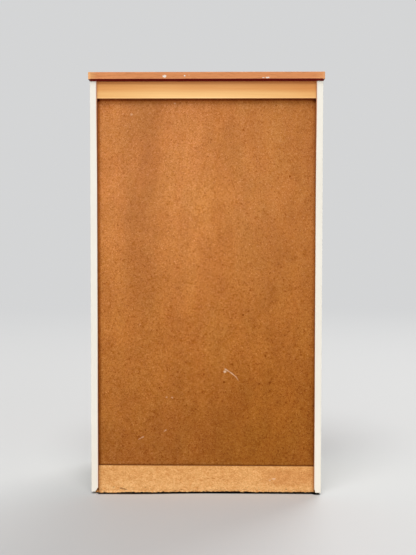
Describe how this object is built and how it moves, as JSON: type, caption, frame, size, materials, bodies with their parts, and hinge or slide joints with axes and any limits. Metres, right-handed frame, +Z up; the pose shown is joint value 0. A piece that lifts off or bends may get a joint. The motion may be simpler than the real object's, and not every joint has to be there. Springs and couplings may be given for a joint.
{
  "type": "tallboy",
  "caption": "Tall chest of drawers with white side panels, a lipped teak top, teak fronts with turned knobs and a hardboard back held in grooves.",
  "frame": {"origin": "on the floor under the middle of the whole outline, knobs included", "axes": "+Z up, the drawers open towards -Y, the hardboard back faces +Y, +X to the right of someone who faces the drawers"},
  "size_m": [0.618, 0.454, 1.1145],
  "materials": {
    "white_face": "satin",
    "teak_top": "satin",
    "teak_lipping": "satin",
    "teak_front": "satin",
    "teak_knob": "satin",
    "hardboard": "matte",
    "drawer_hardboard": "satin",
    "pine": "matte",
    "raw_chipboard": "matte",
    "hardwood": "waxed",
    "dowel_beech": "matte",
    "drawer_ply": "satin",
    "block_plastic": "satin",
    "steel_screw": "satin",
    "brass_screw": "satin",
    "glide_steel": "satin"
  },
  "bodies": {
    "carcass": {"left_side_panel": "white_face", "right_side_panel": "white_face", "top_panel": "teak_top", "top_front_lipping": "teak_lipping", "top_rear_lipping": "teak_lipping", "top_left_lipping": "teak_lipping", "top_right_lipping": "teak_lipping", "back_panel": "hardboard", "rear_top_rail": "pine", "rear_foot_rail": "raw_chipboard", "front_top_rail": "pine", "plinth_board": "white_face", "left_runners": "hardwood", "right_runners": "hardwood", "runner_screws": "steel_screw", "dowels": "dowel_beech", "corner_blocks": "block_plastic", "corner_block_screws": "steel_screw", "glides": "glide_steel"},
    "drawer_1": {"drawer_1_front": "teak_front", "drawer_1_left_side": "drawer_ply", "drawer_1_right_side": "drawer_ply", "drawer_1_back": "drawer_ply", "drawer_1_bottom": "drawer_hardboard", "drawer_1_left_knob": "teak_knob", "drawer_1_right_knob": "teak_knob", "drawer_1_knob_screws": "brass_screw"},
    "drawer_2": {"drawer_2_front": "teak_front", "drawer_2_left_side": "drawer_ply", "drawer_2_right_side": "drawer_ply", "drawer_2_back": "drawer_ply", "drawer_2_bottom": "drawer_hardboard", "drawer_2_left_knob": "teak_knob", "drawer_2_right_knob": "teak_knob", "drawer_2_knob_screws": "brass_screw"},
    "drawer_3": {"drawer_3_front": "teak_front", "drawer_3_left_side": "drawer_ply", "drawer_3_right_side": "drawer_ply", "drawer_3_back": "drawer_ply", "drawer_3_bottom": "drawer_hardboard", "drawer_3_left_knob": "teak_knob", "drawer_3_right_knob": "teak_knob", "drawer_3_knob_screws": "brass_screw"},
    "drawer_4": {"drawer_4_front": "teak_front", "drawer_4_left_side": "drawer_ply", "drawer_4_right_side": "drawer_ply", "drawer_4_back": "drawer_ply", "drawer_4_bottom": "drawer_hardboard", "drawer_4_left_knob": "teak_knob", "drawer_4_right_knob": "teak_knob", "drawer_4_knob_screws": "brass_screw"},
    "drawer_5": {"drawer_5_front": "teak_front", "drawer_5_left_side": "drawer_ply", "drawer_5_right_side": "drawer_ply", "drawer_5_back": "drawer_ply", "drawer_5_bottom": "drawer_hardboard", "drawer_5_left_knob": "teak_knob", "drawer_5_right_knob": "teak_knob", "drawer_5_knob_screws": "brass_screw"}
  },
  "joints": [
    {"name": "drawer_1_slide", "type": "slide", "parent": "carcass", "child": "drawer_1", "axis": [0, -1, 0], "range_m": [0, 0.29]},
    {"name": "drawer_2_slide", "type": "slide", "parent": "carcass", "child": "drawer_2", "axis": [0, -1, 0], "range_m": [0, 0.29]},
    {"name": "drawer_3_slide", "type": "slide", "parent": "carcass", "child": "drawer_3", "axis": [0, -1, 0], "range_m": [0, 0.29]},
    {"name": "drawer_4_slide", "type": "slide", "parent": "carcass", "child": "drawer_4", "axis": [0, -1, 0], "range_m": [0, 0.29]},
    {"name": "drawer_5_slide", "type": "slide", "parent": "carcass", "child": "drawer_5", "axis": [0, -1, 0], "range_m": [0, 0.29]}
  ]
}
